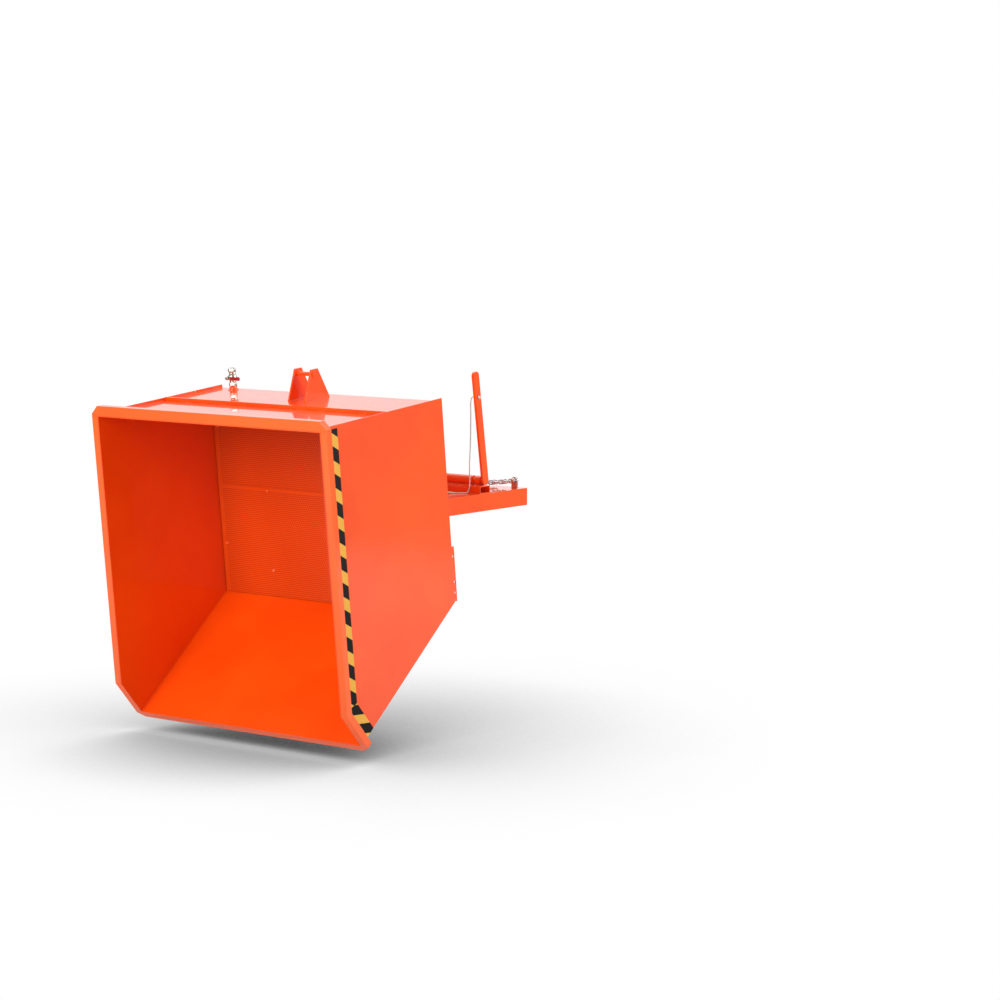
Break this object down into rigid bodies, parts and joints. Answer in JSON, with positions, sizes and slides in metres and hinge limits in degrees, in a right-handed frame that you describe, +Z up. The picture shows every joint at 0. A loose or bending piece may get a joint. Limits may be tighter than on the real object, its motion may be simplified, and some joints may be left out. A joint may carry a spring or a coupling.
{
  "type": "self dumping hopper",
  "caption": "Open sheet-steel tipping tub hinged on a base frame with two fork pockets, with a release lever and latch, perforated false floor, drain valve, safety chain and cord.",
  "frame": {"origin": "midway between the two fork pockets, at the floor of their entry ends", "axes": "+Z up, +X to the right seen from the dumping side, -Y towards the dumping side, +Y towards the forks"},
  "size_m": [1.3, 1.7131, 1.4982],
  "materials": {
    "orange_paint": "glossy orange powder coat on sheet and tube steel",
    "hazard_tape": "self-adhesive hazard tape, yellow with slanted black stripes",
    "zinc_steel": "bright zinc plating",
    "dark_steel": "bare ground steel, oiled",
    "nickel": "nickel-plated brass valve body",
    "red_handle": "dark red dipped valve handle",
    "rubber": "black rubber buffers",
    "white_cord": "braided white polyester cord",
    "black_tie": "black hook-and-loop tie"
  },
  "bodies": {
    "base_frame": {"fork_pocket_left": "orange_paint", "fork_pocket_right": "orange_paint", "front_cross_tube": "orange_paint", "rear_cross_tube": "orange_paint", "rest_cross_tube": "orange_paint", "tie_plate": "orange_paint", "latch_cross_tube": "orange_paint", "hinge_shaft": "dark_steel", "rest_pad_left": "rubber", "rest_pad_right": "rubber", "tip_stop_left": "rubber", "tip_stop_right": "rubber", "hinge_ear_inner_left": "orange_paint", "hinge_ear_inner_right": "orange_paint", "hinge_ear_outer_left": "orange_paint", "hinge_ear_outer_right": "orange_paint", "hinge_nut_left": "zinc_steel", "hinge_nut_right": "zinc_steel", "latch_sleeve_1": "orange_paint", "latch_sleeve_2": "orange_paint", "latch_sleeve_3": "orange_paint", "chain_eye_left": "zinc_steel", "chain_eye_right": "zinc_steel", "safety_chain_front": "zinc_steel", "safety_chain_rear": "zinc_steel", "cord_coil": "white_cord", "release_cord": "white_cord", "coil_tie": "black_tie", "cord_end_knot": "white_cord"},
    "tub": {"side_panel_left": "orange_paint", "side_panel_right": "orange_paint", "rear_wall": "orange_paint", "bottom_plate": "orange_paint", "front_slope": "orange_paint", "rim_lip": "orange_paint", "rim_left": "orange_paint", "rim_right": "orange_paint", "rim_rear": "orange_paint", "rear_stiffener": "orange_paint", "perforated_floor_rear": "orange_paint", "perforated_floor_front": "orange_paint", "floor_bearer_1": "orange_paint", "floor_bearer_2": "orange_paint", "foot_plate_left": "orange_paint", "foot_plate_right": "orange_paint", "hazard_tape_left": "hazard_tape", "hazard_tape_right": "hazard_tape", "hinge_lug_left": "orange_paint", "hinge_lug_right": "orange_paint", "catch_plate_left": "orange_paint", "catch_plate_right": "orange_paint", "catch_pin": "orange_paint", "drain_pipe": "orange_paint", "valve_body": "nickel"},
    "latch": {"latch_shaft": "orange_paint", "release_lever": "orange_paint", "latch_hook": "orange_paint", "latch_collar": "zinc_steel", "cord_knot": "white_cord"},
    "drain_handle": {"valve_handle": "red_handle"}
  },
  "joints": [
    {"name": "tub_tip", "type": "hinge", "parent": "base_frame", "child": "tub", "pos_m": [0, -0.861, 0.11], "axis": [1, 0, 0], "range_deg": [-95.7, 0]},
    {"name": "latch_pull", "type": "hinge", "parent": "base_frame", "child": "latch", "pos_m": [0, -0.277, 0.13], "axis": [-1, 0, 0], "range_deg": [-6.3, 25]},
    {"name": "drain_turn", "type": "hinge", "parent": "tub", "child": "drain_handle", "pos_m": [-0.512, -0.99998, 0.58615], "axis": [0, -0.9951, -0.0993], "range_deg": [0, 90]}
  ]
}
